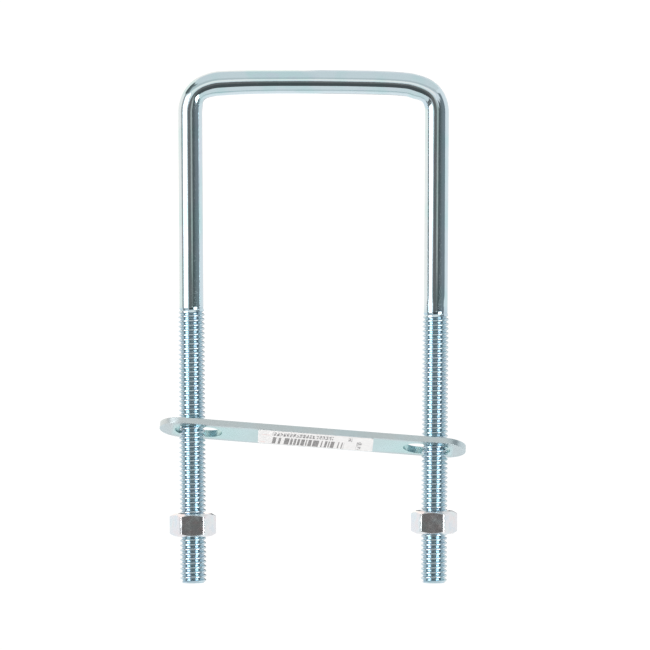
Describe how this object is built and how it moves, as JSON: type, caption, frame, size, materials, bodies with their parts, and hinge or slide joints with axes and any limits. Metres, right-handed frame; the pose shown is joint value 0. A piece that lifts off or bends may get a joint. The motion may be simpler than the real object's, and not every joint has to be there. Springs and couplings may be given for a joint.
{
  "type": "u-bolt",
  "caption": "Square-bend U-bolt with threaded legs, a slotted strap plate hung canted on the threads, hexagon nuts and a blank label under the strap.",
  "frame": {"origin": "middle of the inside of the crossbar, where the clamped pipe, post or beam bears", "axes": "+Z from the leg ends to the crossbar, X across the two legs, Y through the opening, with -Y the front"},
  "size_m": [0.0928, 0.014, 0.1556],
  "materials": {
    "rod_zinc": "bright blue zinc plating",
    "strap_zinc": "blue zinc plating, satin",
    "nut_zinc": "bright blue zinc plating",
    "label_paper": null
  },
  "bodies": {
    "rod": {"bent_rod": "rod_zinc"},
    "strap": {"strap_plate": "strap_zinc", "barcode_label": "label_paper"},
    "left_nut": {"left_nut": "nut_zinc"},
    "right_nut": {"right_nut": "nut_zinc"}
  },
  "joints": [
    {"name": "strap_slide", "type": "slide", "parent": "rod", "child": "strap", "axis": [0, 0, 1], "range_m": [0, 0.085]},
    {"name": "left_nut_travel", "type": "slide", "parent": "rod", "child": "left_nut", "axis": [-0.0068, 0, 1], "range_m": [-0.01411, 0.0127]},
    {"name": "right_nut_travel", "type": "slide", "parent": "rod", "child": "right_nut", "axis": [0.0068, 0, 1], "range_m": [-0.01411, 0.0127]}
  ]
}
